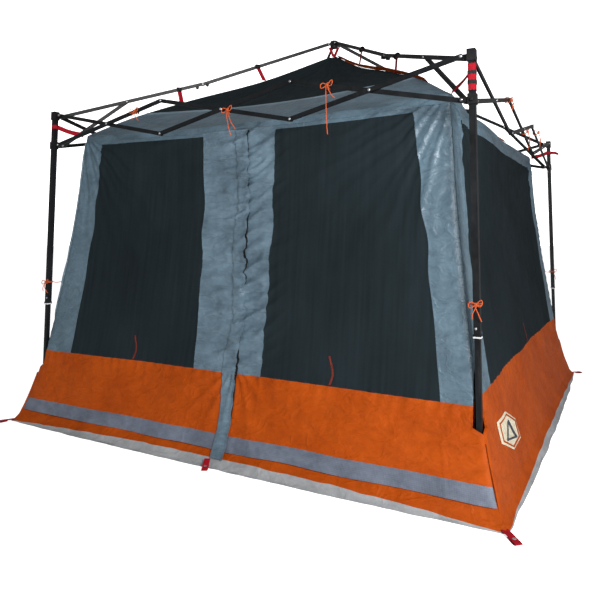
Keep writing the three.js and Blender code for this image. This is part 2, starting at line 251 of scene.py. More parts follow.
GRAY = cloth("gray_taffeta", (62, 79, 90), (78, 98, 110), roughness=(0.34, 0.48), crumple=0.006,
             specular=0.5, shade=0.4)
# random streaked tone; its light end, above the grey's, is painted silvery highlight on the loose strip by
# the zip
LOOSE = cloth("loose_gray_taffeta", (61, 78, 89), (90, 110, 123), roughness=(0.30, 0.44), crumple=0.0080,
              specular=0.6, pull=(0.50, 2.0, 1.0), shade=0.35)
# painted highlight: the grey taffeta made paler for the strip round the roof's mesh
PALE_HIGHLIGHT = cloth("gray_taffeta_painted_highlight", (84, 102, 114), (108, 127, 139))
ORANGE = cloth("orange_taffeta", (130, 50, 2), (150, 63, 8), roughness=(0.5, 0.66), specular=0.08,
               crumple=0.006)
HEM = cloth("woven_hem", (62, 68, 80), (98, 105, 119), pitch=0.0075, weave_contrast=0.55,
            weave_depth=0.0008, crumple=0.002, roughness=(0.5, 0.7))
GROUND = cloth("pale_groundsheet", (112, 114, 116), (142, 144, 146), pitch=0.004, crumple=0.006,
               roughness=(0.4, 0.6), weave_contrast=0.15)
BINDING = cloth("dark_binding", (38, 44, 52), (58, 66, 76), pitch=0.0012, crumple=0.0008)
# its last colour is painted shade: the tent's dark inside seen through the holes
MESH = netting("black_mesh", (20, 26, 28), (30, 38, 42), (12, 14, 17))
RED = webbing("red_webbing", (112, 0, 14), (152, 4, 26))
BLACK_TAPE = webbing("black_webbing", (14, 14, 15), (32, 32, 34))
RUST = webbing("rust_webbing", (70, 26, 20), (104, 40, 30))
CREAM = webbing("cream_patch", (176, 168, 146), (204, 196, 174), pitch=0.0011)
CORD = webbing("orange_cord", (152, 58, 24), (190, 90, 48), pitch=0.0012)
STEEL = coated("black_powder_coat", (8, 9, 11), (17, 19, 22), roughness=(0.34, 0.5), specular=0.3,
               scratch=0.05)
PLASTIC = coated("black_nylon", (8, 8, 9), (17, 17, 19), roughness=(0.42, 0.62), grain=260.0, specular=0.3,
                 scratch=0.04)
WHITE = coated("white_nylon", (160, 162, 162), (192, 194, 194), roughness=(0.4, 0.55), scratch=0.0)
RIVET = coated("bright_rivet", (150, 152, 155), (214, 216, 219), roughness=(0.22, 0.4), metallic=0.85,
               scratch=0.2)

for node_name, node in NODES.items():
    finish = PLASTIC if node_name.split("_")[0] in ("cap", "slider", "hub") else STEEL
    for holder in node.material_slots:
        holder.material = finish


# ---- mesh helpers ----
def unit(value):
    """A value kept between 0 and 1."""
    return np.clip(value, 0, 1)


def circle(count):
    """Evenly spread angles, once round."""
    return np.linspace(0, 2 * math.pi, count + 1)[:-1]


def curve_through(keys, values):
    """A smooth function through the given points."""
    x, y = np.array(keys, float), np.array(values, float)
    slope = np.gradient(y, x)

    def at(t):
        t = np.clip(np.asarray(t, float), x[0], x[-1])
        i = np.clip(np.searchsorted(x, t, side="right") - 1, 0, len(x) - 2)
        h = x[i + 1] - x[i]
        u = (t - x[i]) / h
        return ((2 * u**3 - 3 * u**2 + 1) * y[i] + (u**3 - 2 * u**2 + u) * h * slope[i]
                + (3 * u**2 - 2 * u**3) * y[i + 1] + (u**3 - u**2) * h * slope[i + 1])
    return at


def rough(a, b, scale, seed):
    """Smooth noise from -1 to 1 over two coordinates, the same on each run."""
    flat = [noise.noise((p * scale, q * scale, seed)) for p, q in zip(np.ravel(a), np.ravel(b))]
    return np.array(flat).reshape(np.shape(a))


def bell(x, width):
    return np.exp(-((x / width) ** 2))


def run_length(path):
    """The length along a line of points, at each of them."""
    return np.concatenate([[0], np.cumsum(np.linalg.norm(np.diff(path, axis=0), axis=1))])


def add_object(name, data):
    obj = bpy.data.objects.new(name, data)
    bpy.context.scene.collection.objects.link(obj)
    return obj


def shell(name, grid, uv, cells, materials, thick=0.0012):
    """A closed sheet of cloth from a grid of points, with a material index for each cell. Its outer side
    is the one from which the columns run to the right and the rows run upwards."""
    rows, cols = grid.shape[:2]
    across, up = np.gradient(grid, axis=1), np.gradient(grid, axis=0)
    normal = np.cross(across, up)
    normal /= np.maximum(np.linalg.norm(normal, axis=2, keepdims=True), 1e-12)
    count = rows * cols
    points = np.concatenate([grid.reshape(-1, 3), (grid - normal * thick).reshape(-1, 3)])
    index = np.arange(count).reshape(rows, cols)
    front = np.stack([index[:-1, :-1], index[:-1, 1:], index[1:, 1:], index[1:, :-1]], 2).reshape(-1, 4)
    border = np.concatenate([index[0, :], index[1:, -1], index[-1, -2::-1], index[-2:0:-1, 0]])
    following = np.roll(border, -1)
    rim = np.stack([following, border, border + count, following + count], 1)
    faces = np.concatenate([front, front[:, ::-1] + count, rim])
    inner = cells.reshape(-1)
    edge_cells = np.concatenate([cells[0, :], cells[:, -1], cells[-1, ::-1], cells[::-1, 0]])
    paint = np.concatenate([inner, inner, edge_cells])
    mesh = bpy.data.meshes.new(name)
    mesh.vertices.add(len(points))
    mesh.vertices.foreach_set("co", points.reshape(-1))
    mesh.loops.add(faces.size)
    mesh.loops.foreach_set("vertex_index", faces.reshape(-1).astype(np.int32))
    mesh.polygons.add(len(faces))
    mesh.polygons.foreach_set("loop_start", np.arange(0, faces.size, 4, dtype=np.int32))
    mesh.polygons.foreach_set("material_index", paint.astype(np.int32))
    mesh.update(calc_edges=True)
    layer = mesh.uv_layers.new(name="cloth")
    both = np.concatenate([uv.reshape(-1, 2), uv.reshape(-1, 2)])
    layer.data.foreach_set("uv", both[faces.reshape(-1)].reshape(-1))
    for material in materials:
        mesh.materials.append(material)
    mesh.shade_smooth()
    mesh.set_sharp_from_angle(angle=math.radians(60))
    return add_object(name, mesh)


def ribbon(name, path, side, width, material, thick=0.0012):
    """A flat tape that follows a path, its width along side."""
    path, side = np.array(path, float), np.array(side, float)
    side /= np.linalg.norm(side)
    across = np.linspace(-0.5, 0.5, 5)
    grid = path[:, None, :] + side * across[None, :, None] * width
    uv = np.stack(np.broadcast_arrays(across[None, :] * width, run_length(path)[:, None]), 2)
    cells = np.zeros((len(path) - 1, len(across) - 1), int)
    return shell(name, grid, uv, cells, [material], thick)


def smooth_path(points, count):
    """Evenly spread points on a smooth line through a few given ones."""
    points = np.array(points, float)
    along = run_length(points)
    t = np.linspace(0, along[-1], count)
    return np.stack([curve_through(along, points[:, k])(t) for k in range(3)], 1)


def tube(name, lines, radius, material, closed=False):
    """Round cord along one or more lines of points."""
    data = bpy.data.curves.new(name, "CURVE")
    data.dimensions = "3D"
    data.bevel_depth = radius
    data.bevel_resolution = 3
    data.use_fill_caps = True
    for line in lines:
        spline = data.splines.new("POLY")
        spline.points.add(len(line) - 1)
        spline.use_cyclic_u = closed
        with_weights = np.concatenate([np.array(line), np.ones((len(line), 1))], 1)
        spline.points.foreach_set("co", with_weights.reshape(-1))
        spline.use_smooth = True
    data.materials.append(material)
    return add_object(name, data)


def revolved(name, profile, place, axis, material, sides=20, box=False):
    """A solid turned from (radius, height) pairs round an axis, or an upright square one with box."""
    turn = Vector(axis).normalized().to_track_quat("Z", "Y").to_matrix()
    ring = [(math.cos(a), math.sin(a)) for a in circle(sides)]
    if box:
        turn = Matrix.Identity(3)
        cut = 0.86  # where the square's corners are cut off
        ring = [(1, cut), (cut, 1), (-cut, 1), (-1, cut), (-1, -cut), (-cut, -1), (cut, -1), (1, -cut)]
    points = [Vector(place) + turn @ Vector((r * a, r * b, h)) for r, h in profile for a, b in ring]
    n, rows = len(ring), len(profile)
    faces = [(i * n + k, i * n + (k + 1) % n, (i + 1) * n + (k + 1) % n, (i + 1) * n + k)
             for i in range(rows - 1) for k in range(n)]
    faces += [tuple(reversed(range(n))), tuple(range((rows - 1) * n, rows * n))]
    mesh = bpy.data.meshes.new(name)
    mesh.from_pydata([tuple(p) for p in points], [], faces)
    mesh.materials.append(material)
    mesh.shade_smooth()
    mesh.set_sharp_from_angle(angle=math.radians(38))
    return add_object(name, mesh)


def joined(name, objects):
    """One mesh from several."""
    bpy.ops.object.select_all(action="DESELECT")
    for o in objects:
        o.select_set(True)
    bpy.context.view_layer.objects.active = objects[0]
    bpy.ops.object.join()
    objects[0].name = name
    return objects[0]


def turned(points, quarter):
    """Points of the front side, carried round to another side."""
    points = np.array(points, float)
    for _ in range(quarter):
        points = np.stack([-points[..., 1], points[..., 0], points[..., 2]], -1)
    return points


# ---- soft pieces ride on a body ----
GATHERED, ROOF_GATHERED = 0.15, 0.12  # share of the width that is left when folded
PANELS = {  # the body, an axis along each panel, and a place at one end of it
    "door_left": ("door_left", (1, 0, 0), (-LEG, 0, 0)),
    "door_right": ("door_right", (1, 0, 0), (LEG, 0, 0)),
    "front": ("frame", (1, 0, 0), (-LEG, 0, 0)),
    "right": ("leg_fr", (0, 1, 0), (0, -LEG, 0)),
    "back": ("leg_bl", (1, 0, 0), (-LEG, 0, 0)),
    "left": ("frame", (0, 1, 0), (0, -LEG, 0)),
}


def hold(piece, slot, body, axis=None, anchor=None, keep=GATHERED):
    """A piece rides on its body. With an axis, it gets a mesh of its own."""
    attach(piece, body)
    if axis:
        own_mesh(piece)


# ---- the tent's shape ----
EAVES_Z, EAVES_OUT = 1.922, 1.31
WALL_TOP = 1.873
BAND_TOP = {"front": 0.455, "right": 0.50, "back": 0.50, "left": 0.50}  # of the coloured band
half_width = curve_through([0, 0.12, 0.455, 0.9, 1.2, 1.5, WALL_TOP, EAVES_Z],
                           [1.572, 1.535, 1.460, 1.398, 1.362, 1.336, 1.314, EAVES_OUT])
roof_height = curve_through([0.024, 0.40, 0.83, 1.08, EAVES_OUT], [2.665, 2.425, 2.212, 2.075, EAVES_Z])
CORNER_ROUND = 0.035
EDGE_FADE = 0.09  # how near its upright edges a panel starts to lie flat
# how deep the cloth's folds, swells, puckers and sags are
CORNER_FOLD, CORNER_CREASE = 0.017, 0.011
SWELL, DENT = 0.016, 0.0055
MIDDLE_FOLD, MIDDLE_CREASE, MIDDLE_WRINKLE = 0.021, 0.014, 0.007
ZIP_FOLD, BAND_PUCKER, SEAM_PUCKER = 0.014, 0.0050, 0.0062
WALL_HOLLOW, EAVE_SAG, ROOF_SAG = 0.030, 0.028, 0.075


def zip_x(z):
    """The zip leans to the left on its way up."""
    foot, lean = 0.125, 0.04
    return foot - lean * np.asarray(z) / WALL_TOP


def pleat(phase):
    """A wave with sharp ridges and round hollows, from -0.4 to 0.6."""
    return 0.6 - np.abs(np.sin(phase / 2))


def edge_fade(x, half):
    """1 on a panel, falling to 0 at its upright edges, where it is sewn."""
    return 1 - unit((np.abs(x) - half + EDGE_FADE) / EDGE_FADE) ** 2


def waves(distance, pitch):
    """The phase of a wave that repeats every pitch metres."""
    return 2 * np.pi * distance / pitch


def creases(a, b, seed):
    """Narrow winding ridges, 0 to 1, along the zero lines of a smooth noise."""
    return bell(rough(a, b, 1.0, seed), 0.16)


def corner_folds(x, z):
    """Tension folds that fan out from where the roof's corners are strapped up."""
    out = np.zeros(np.shape(x))
    for sign, seed in ((-1, 3.1), (1, 7.7)):
        inward, down = np.maximum(EAVES_OUT - x * sign, 0.0), EAVES_Z + 0.02 - z
        reach = np.hypot(inward, down)
        angle = np.arctan2(down, inward + 1e-6)
        wander = 1.6 * rough(reach * 3 + 5 * sign, angle * 1.4, 1.3, seed)
        fade = np.exp(-reach / 0.52) * unit(reach / 0.14)
        out += CORNER_FOLD * fade * pleat(22 * angle + 1.6 * wander + seed)
        out += CORNER_CREASE * fade * pleat(51 * angle + 3.1 * wander)
    return out


def slack(x, z, seed):
    """Broad soft swells and small dents, zero along the ground."""
    swell = SWELL * rough(x, z * 0.7, 1.9, seed) + DENT * rough(x, z * 0.8, 5.5, seed + 2)
    return swell * unit((z - 0.02) / 0.2)


def middle_folds(x, z):
    """The crossing folds of the loose strip that the zip runs down."""
    off = x - zip_x(z)
    wander = rough(x * 2.0, z * 3.0, 1.6, 11.3)
    slope = np.where(off > 0, 0.62, 0.12)
    run = z - slope * off
    phase = waves(run, pitch=0.100) + 4.4 * wander
    body = bell(off, 0.21) * unit((z - 0.42) / 0.12)
    broken = 0.35 + 0.65 * unit(0.5 + 1.4 * rough(x, z, 3.6, 19.0))
    out = MIDDLE_FOLD * broken * pleat(phase)
    out += MIDDLE_CREASE * (creases(run * 11, off * 3.4, 23.0) - 0.3)
    out += MIDDLE_WRINKLE * (creases(run * 24 + 4, off * 8.0, 29.0) - 0.3)
    return out * body


def zip_fan(x, z, top):
    """Folds in the coloured band that fan down from the top of the closed zip."""
    off, down = x - zip_x(top), top + 0.05 - z
    reach = np.hypot(off, down)
    angle = np.arctan2(down, np.abs(off) + 1e-6)
    fade = np.exp(-reach / 0.30) * unit(down / 0.06) * (z <= top)
    return ZIP_FOLD * fade * pleat(17 * angle + 2.0 * rough(x * 2, z * 2, 1.5, 37.0))


def band_puckers(x, z, top):
    """Short puckers under the seam at the top of the coloured band."""
    fade = np.exp(-np.clip(top - z, 0, None) / 0.07) * (z <= top)
    return BAND_PUCKER * fade * pleat(waves(x, pitch=0.075) + 5 * rough(x, z, 4.0, 4.4))


def seam_puckers(x, z, seed):
    """Short puckers across the upright seams at the tent's corners."""
    away = np.clip(half_width(z) - np.abs(x), 0, None)
    phase = waves(z + 0.4 * away, pitch=0.062) + 5 * rough(x * 0.5, z, 3.5, seed + 51.0)
    return SEAM_PUCKER * bell(away, 0.13) * pleat(phase)


def wall_depth(x, z, side):
    """How far a side's cloth stands out from its smooth shape."""
    seed, band_top = SEED[side], BAND_TOP[side]
    out = corner_folds(x, z) + slack(x, z, seed) + band_puckers(x, z, band_top) + seam_puckers(x, z, seed)
    between = 1 - unit(np.abs(x) / 1.35) ** 2
    out -= WALL_HOLLOW * between * np.sin(np.pi * unit((z - 0.1) / 1.85))
    if side == "front":
        out += middle_folds(x, z) + zip_fan(x, z, band_top)
    return out


def eave_sag(x, z):
    """How far the top edge hangs down between the corners."""
    return EAVE_SAG * (1 - unit(np.abs(x) / EAVES_OUT) ** 2) * unit(z / EAVES_Z) ** 5


def on_wall(side, x, z, proud=0.0):
    """The point of a wall's outer face at x, z of its own side, and a little further out."""
    x, z = np.asarray(x, float), np.asarray(z, float)
    out = half_width(z) + wall_depth(x, z, side) + proud
    return turned(np.stack([x, -out, z - eave_sag(x, z)], -1), QUARTER[side])


def side_direction(side):
    return turned(np.array([1.0, 0.0, 0.0]), QUARTER[side])


def rounded_corner(x, half):
    """Moves points near the tent's upright edges round a small radius: the new x and how far in they go."""
    inner = half - CORNER_ROUND
    share = unit((np.abs(x) - inner) / CORNER_ROUND)
    angle = share * np.pi / 4
    new = np.where(share > 0, np.sign(x) * (inner + CORNER_ROUND * np.sin(angle)), x)
    return new, CORNER_ROUND * (1 - np.cos(angle))


def leg_slit(x, z):
    """Keeps cloth off a leg where it passes from outside the tent to inside."""
    widest, at_leg = 1.56, 1.424
    opening = unit((z - 0.33) / 0.03) * unit((0.69 - z) / 0.03)
    return np.sign(x) * np.minimum(np.abs(x), widest - (widest - at_leg) * opening)


GRID = 0.011  # spacing of the cloth's points
RIDGE = 0.007  # half a seam's width
SEAM_HIGH = 0.0016  # how far a seam stands out


def sewn(x, z, side, proud=0.0):
    """A side's cloth as if it faced the front. It lies flat and rounds off at its upright edges."""
    half = half_width(z)
    new_x, inward = rounded_corner(x, half)
    out = wall_depth(x, z, side) * edge_fade(x, half) + proud - inward
    return np.stack([leg_slit(new_x, z), -(half + out), z - eave_sag(x, z)], -1)


def stations(breaks):
    """Grid stations from a list of break lines. Each inner break gets a close pair of lines round it."""
    marks, owners, ridges = [], [], []
    for i, (a, b) in enumerate(zip(breaks[:-1], breaks[1:])):
        span = float(np.max(np.abs(np.asarray(b(0.9)) - np.asarray(a(0.9)))))
        n = max(2, round(span / GRID))
        lead, tail = (RIDGE if i else 0.0), (RIDGE if i + 2 < len(breaks) else 0.0)
        for k in range(n):
            marks.append(lambda s, a=a, b=b, t=k / n, lead=lead, tail=tail:
                         a(s) + lead + (b(s) - a(s) - lead - tail) * t)
            owners.append(i)
            ridges.append(0.0)
        if tail:
            marks += [lambda s, b=b: b(s) - RIDGE, b]
            owners += [i, i + 1]
            ridges += [0.0, 1.0]
    marks.append(breaks[-1])
    ridges.append(0.0)
    return marks, owners, ridges


def constant(value):
    return lambda s: value + 0 * np.asarray(s, float)


def seam(top, bottom, z_bottom=BAND_TOP["front"]):
    """An upright seam that wanders a little between its two ends."""
    def at(z):
        z = np.asarray(z, float)
        share = (z - z_bottom) / (WALL_TOP - z_bottom)
        sway = 0.010 * np.sin(np.pi * unit(share))
        sway = sway * np.sin(17 * z + 40 * top) * (0.6 + 0.4 * np.sin(6 * z))
        return bottom + (top - bottom) * share + sway
    return at


FABRICS = [GRAY, MESH, ORANGE, HEM, LOOSE]
WINDOW_TOP = 1.850


def wall(node, panel, x_breaks, z_breaks, paint):
    """The cloth of one wall or door, cut into regions by break lines. paint gives each region's fabric."""
    side = "front" if panel.startswith("door") else panel
    x_marks, x_owner, x_ridge = stations(x_breaks)
    z_marks, z_owner, z_ridge = stations([constant(z) for z in z_breaks])
    z = np.array([float(mark(0.0)) for mark in z_marks])
    x = np.stack([mark(z) for mark in x_marks], 1)
    z = np.repeat(z[:, None], x.shape[1], 1)
    ridge = SEAM_HIGH * np.maximum(np.array(x_ridge)[None, :], np.array(z_ridge)[:, None])
    points = sewn(x, z, side, ridge)
    if side == "front":
        hang = unit(1 - (z - z_breaks[0]) / 0.25)
        points[..., 1] -= 0.012 * hang * (0.4 + rough(x, z * 0, 2.2, 5.0))
        points[..., 2] += 0.006 * hang * rough(x, z * 0, 3.0, 9.0)
    cells = np.array([[paint(i, j) for j in x_owner] for i in z_owner])
    piece = shell(node + "_cloth", turned(points, QUARTER[side]), np.stack([x, z], 2), cells, FABRICS)
    hold(piece, "shell_fabric", *PANELS[panel])
    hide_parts(node)


def door_paint(loose_column):
    """Fabrics of a door: hem and coloured band at the foot, a window in grey, looser beside the zip."""
    def paint(row, column):
        if row == 0:
            return FABRICS.index(HEM)
        if row == 1:
            return FABRICS.index(ORANGE)
        if row == 2 and column == 1:
            return FABRICS.index(MESH)
        return FABRICS.index(LOOSE if column == loose_column else GRAY)
    return paint


def wall_paint(row, column):
    if row == 0:
        return FABRICS.index(ORANGE)
    return FABRICS.index(MESH if row == 1 and column == 1 else GRAY)


def left_edge(z):
    return -half_width(z)


# ---- roof: one sheet, sewn from narrow gores ----
GORES = 32
GORE_STEP = 2 * math.pi / GORES
BORDER, RIM = 0.03, 0.006  # the strip round the mesh, grey cloth painted paler as a highlight, and the seam beside it
PEAK_H = 0.03  # how near the axis a gore ends


def roof_point(x, h):
    """The front face's height at x across and h from the axis. The sheet sags between its hips."""
    share = unit(np.abs(x) / np.maximum(h, 1e-6))
    sag = ROOF_SAG * (1 - share**2) * np.sin(np.pi * unit((h - 0.02) / 1.36)) ** 0.8
    return roof_height(h) - sag


def gore(number):
    """One gore, from the wall's top edge over the eaves to the peak."""
    a0, a1 = number * GORE_STEP, (number + 1) * GORE_STEP
    middle = (a0 + a1) / 2
    quarter = int(((middle + math.pi * 0.75) % (2 * math.pi)) // (math.pi / 2)) % 4
    side = list(QUARTER)[quarter]
    centre = -math.pi / 2 + quarter * math.pi / 2
    t0, t1 = math.tan(a0 - centre), math.tan(a1 - centre)
    t = np.linspace(t0, t1, 17)
    rows = []
    for z in np.linspace(WALL_TOP + 0.001, EAVES_Z, 6)[:-1]:
        rows.append(sewn(t * half_width(z), np.full_like(t, z), side))
    eave_x = t * EAVES_OUT
    eave_out = wall_depth(eave_x, np.full_like(t, EAVES_Z), side) * edge_fade(eave_x, EAVES_OUT)
    eave_round, eave_in = rounded_corner(eave_x, EAVES_OUT)
    edge_h = 0.93 + 0.09 * t**2  # where the mesh begins
    border_h, rim_h = edge_h + BORDER, edge_h - RIM
    below = np.linspace(0, 1, 22)[:-1, None]
    above = np.linspace(0, 1, 52)[1:, None]
    h_rows = np.concatenate([EAVES_OUT + (border_h - EAVES_OUT) * below,
                             [border_h, edge_h + RIM, edge_h, rim_h],
                             rim_h + (PEAK_H - rim_h) * above])
    for h in h_rows:
        x = t * h
        z = roof_point(x, h) - eave_sag(eave_x, EAVES_Z) * unit((h - 0.9) / 0.41)
        on_top = unit((EAVES_OUT - h) / 0.16)
        near_eave = 1 - on_top
        ruffle = 0.010 * rough(x, h, 2.2, SEED[side] + 6)
        ruffle += corner_folds(x * EAVES_OUT / np.maximum(h, 0.3), 1.90 - 0.5 * (EAVES_OUT - h))
        ruffle *= edge_fade(x, h) * unit(h / 0.25) * on_top
        ruffle *= np.clip((h - edge_h + BORDER) / 0.25, 0.15, 1)
        ridge = np.where(np.abs(h - edge_h) < 1e-6, SEAM_HIGH, 0.0)
        x = x + (eave_round - eave_x) * near_eave
        y = -(h + (eave_out - eave_in) * near_eave)
        rows.append(np.stack([x, y, z + ruffle + ridge], 1))
    grid = turned(np.array(rows), quarter)
    along = run_length(grid[:, 8])
    uv = np.stack(np.broadcast_arrays(t[None, :] * EAVES_OUT + 4 * quarter, along[:, None]), 2)
    fabrics = [GRAY, MESH, ORANGE, PALE_HIGHLIGHT]
    top = MESH if side in ("front", "back") else ORANGE
    cells = np.repeat([fabrics.index(fabric) for fabric in (GRAY, PALE_HIGHLIGHT, top)], [26, 2, 52])
    piece = shell("roof_gore_%d" % number, grid, uv, np.repeat(cells[:, None], len(t) - 1, 1), fabrics)
    hold(piece, "shell_fabric", "hub", (math.cos(middle), math.sin(middle), 0), (0, 0, 0), ROOF_GATHERED)
    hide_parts("roof")


for number in range(GORES):
    gore(number)


def hip_binding(corner):
    """A narrow coloured binding that stands up along a hip of the roof."""
    sx, sy = CORNERS[corner]
    foot, tip = 1.12, 0.06
    h = np.linspace(foot, tip, 60)
    lift = 0.006 + 0.006 * np.sin(np.pi * (foot - h) / (foot - tip)) + 0.002 * rough(h, h * 0, 9.0, 4.0)
    line = np.stack([sx * (h + 0.006), sy * h, roof_height(h) + lift], 1)
    piece = ribbon("hip_binding_" + corner, line, (0.62 * sx, 0, -0.78), 0.036, ORANGE, 0.0018)
    hold(piece, "shell_fabric", "hub", (sx, sy, 0), (0, 0, 0), ROOF_GATHERED)


hip_binding("fr")
hip_binding("br")

# ---- walls and doors ----
ZIP_GAP = 0.002  # from the zip's middle to each door's edge
DOOR_ROWS = [0.078, 0.152, BAND_TOP["front"], WINDOW_TOP, WALL_TOP]
LEFT_LINES = [left_edge, seam(-1.13, -1.19), seam(-0.25, -0.18), lambda z: zip_x(z) - ZIP_GAP]
RIGHT_LINES = [lambda z: zip_x(z) + ZIP_GAP, seam(0.28, 0.275), seam(1.11, 1.275), half_width]
wall("door_left", "door_left", LEFT_LINES, DOOR_ROWS, door_paint(2))
wall("door_right", "door_right", RIGHT_LINES, DOOR_ROWS, door_paint(0))
SIDE_BAND = BAND_TOP["right"]
SIDE_ROWS = [0.045, SIDE_BAND, 1.815, WALL_TOP]
SIDE_LINES = [left_edge, seam(-1.16, -1.22, SIDE_BAND), seam(1.13, 1.20, SIDE_BAND), half_width]
for side in ("right", "back", "left"):
    wall("wall_" + side, side, SIDE_LINES, SIDE_ROWS, wall_paint)


def corner_seam(corner, panel):
    """The raised seam down an upright corner of the tent, in each cloth's own colour."""
    sx, sy = CORNERS[corner]
    for part, low, high, material in (("low", 0.016, 0.47, ORANGE), ("high", 0.472, WALL_TOP, GRAY)):
        z = np.linspace(low, high, max(12, round((high - low) / 0.02)))
        out = half_width(z) - CORNER_ROUND * 0.22 + 0.0035 * rough(z * 9, z * 0, 1.0, 5.0 * sx + sy)
        out = np.where((z > 0.32) & (z < 0.70), np.minimum(out, 1.414), out)  # inside the leg
        line = np.stack([sx * out, sy * out, z], 1)
        piece = ribbon("corner_seam_%s_%s" % (part, corner), line, (sx, sy, 0), 0.013, material, 0.0035)
        hold(piece, "shell_fabric", *PANELS[panel])


for corner, panel in {"fl": "left", "fr": "right", "br": "right", "bl": "back"}.items():
    corner_seam(corner, panel)

# ---- groundsheet: a turned-up edge on each side and the sheet inside ----
GROUND_REACH = 1.588
FRONT_EDGE = [(1.520, 0.122), (1.532, 0.094), (1.545, 0.066), (1.556, 0.045), (1.568, 0.026),
              (1.580, 0.010), (GROUND_REACH, 0.003)]
OTHER_EDGE = [(1.536, 0.078), (1.546, 0.058), (1.554, 0.045), (1.564, 0.030), (1.574, 0.017),
              (1.583, 0.008), (GROUND_REACH, 0.003)]


def bowed(share):
    """How much an edge bows outwards at a share of the way from its middle to a corner."""
    return 1 - unit(np.abs(share)) ** 2.6


def skirt(side):
    """The lip of coloured cloth at the ground, and the pale groundsheet under it between the corners."""
    profile = np.array(FRONT_EDGE if side == "front" else OTHER_EDGE)
    x = np.linspace(-1, 1, 231)
    fine = smooth_path(np.concatenate([profile, np.zeros((len(profile), 1))], 1), 61)[:, :2]
    share = np.linspace(0, 1, len(fine))
    middle = bowed(x)
    seam_share = 0.985 - 0.36 * middle + 0.03 * rough(x * 9, x * 0, 1.0, 3.0) * middle
    lip, sheet = np.linspace(0, 1, 15)[:-1, None], np.linspace(0, 1, 15)[:, None]
    cut = np.concatenate([seam_share * lip, seam_share + (1 - seam_share) * sheet])
    reach, z = (np.interp(cut, share, fine[:, k]) for k in (0, 1))
    free = 1 - unit((np.abs(x) - 0.955) / 0.045)
    low = unit((0.09 - z) / 0.09)
    bulge = 0.026 * middle * low
    wave = 0.009 * rough(x * 2.2 + 0 * z, z * 3, 3.5, QUARTER[side] * 3 + 2.0) * low
    crease = 0.005 * rough(x * 6.0 + 0 * z, reach * 8, 3.0, QUARTER[side] + 8.0)
    hem = 0.003 * bell(cut - seam_share, 0.05) * middle
    points = np.stack([x * reach, -(reach + (bulge + wave + hem) * free),
                       np.maximum(z + (crease + 0.4 * wave) * free, 0.0028)], 2)
    along = run_length(fine)
    distance = np.interp(cut, share, along)[::-1]
    uv = np.stack([x * 1.55 + 0 * distance, distance], 2)
    cells = np.repeat(np.repeat([0, 1], 14)[:, None], len(x) - 1, 1)
    grid = turned(points[::-1], QUARTER[side])
    piece = shell("groundsheet_edge_" + side, grid, uv, cells, [GROUND, ORANGE], 0.0015)
    hold(piece, "groundsheet", *PANELS[side])
    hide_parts("floor")


for side in QUARTER:
    skirt(side)

WEDGES = 12
FLOOR_REACH = 1.578


def floor_bulge(a, b):
    """How far the floor's edge goes out, between its corners, to meet the turned-up edge."""
    near = unit((np.abs(a) - 1.4) / (FLOOR_REACH - 1.4))
    return np.sign(a) * near * 0.030 * bowed(b / GROUND_REACH)


def floor_wedge(number):
    """One wedge of the floor, fanned out from the front left leg."""
    a0, a1 = (math.pi / 2 * (number + k) / WEDGES for k in (0, 1))
    middle = (a0 + a1) / 2
    angles = np.linspace(a0, a1, 9)
    reach = 2 * FLOOR_REACH / np.maximum(np.cos(angles), np.sin(angles))
    radius = np.linspace(0.012, 1, 60)[:, None] * reach[None, :]
    x = radius * np.cos(angles)[None, :] - FLOOR_REACH
    y = radius * np.sin(angles)[None, :] - FLOOR_REACH
    x, y = x + floor_bulge(x, y), y + floor_bulge(y, x)
    grid = np.stack([x, y, 0.0062 + 0.0022 * rough(x, y, 4.0, 30.0)], 2)
    cells = np.zeros((len(radius) - 1, len(angles) - 1), int)
    piece = shell("floor_wedge_%d" % number, grid, grid[:, :, :2], cells, [GROUND])
    hold(piece, "groundsheet", "frame", (math.cos(middle), math.sin(middle), 0), (-LEG, -LEG, 0))
    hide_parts("floor")


for number in range(WEDGES):
    floor_wedge(number)


# ---- the zip and the flap over it ----
def zip_flap():
    """The loose strip of cloth that hangs over the zip from the left door."""
    z = np.linspace(0.045, WALL_TOP - 0.004, 170)
    edge = zip_x(z) + 0.018 + 0.011 * np.sin(z * 9.0 + 0.8) * bell(z - 0.9, 0.7)
    edge += 0.010 * rough(z, z * 0, 5.0, 2.0)
    width = 0.085 - 0.012 * rough(z, z * 0, 3.0, 6.0)
    share = np.linspace(0, 1, 13)[None, :]
    x = edge[:, None] - width[:, None] * (1 - share)
    z = np.repeat(z[:, None], share.size, 1)
    lift = 0.004 + 0.010 * share * (0.6 + 0.7 * rough(x * 3, z, 7.0, 15.0))
    lift += 0.0045 * share * np.sin(waves(z, pitch=0.105) + 5 * rough(x, z, 3.0, 1.0))
    lift += 0.006 + 0.012 * unit((0.16 - z) / 0.12)
    cells = np.zeros((len(z) - 1, share.size - 1), int)
    flap = shell("zip_flap", on_wall("front", x, z, lift), np.stack([x, z], 2), cells, [LOOSE])
    hold(flap, "shell_fabric", *PANELS["door_left"])


def zip_half(side, offset):
    """Half of the zip: its tape and teeth along a door's edge."""
    z = np.linspace(0.085, WALL_TOP - 0.01, 400)
    tooth = 0.0011 * (np.arange(len(z)) % 2)
    line = on_wall("front", zip_x(z) + offset, z, 0.0028 + tooth)
    tape = ribbon("zip_half_" + side, line, (1, 0, 0), 0.011, BLACK_TAPE, 0.0016)
    hold(tape, "mesh_fabric", *PANELS["door_" + side])


zip_flap()
zip_half("left", -0.008)
zip_half("right", 0.008)


# ---- roll-up tapes behind the mesh, the plain patch and the peg tabs ----
def rollup_tape(number, panel, x, low, high):
    side = "front" if panel.startswith("door") else panel
    z = np.linspace(low, high, 16)
    line = on_wall(side, x + 0.014 * np.sin((z - low) / (high - low) * 4.2), z, 0.0035)
    tape = ribbon("rollup_tape_%d" % number, line, side_direction(side), 0.012, RUST)
    hold(tape, "mesh_fabric", *PANELS[panel])


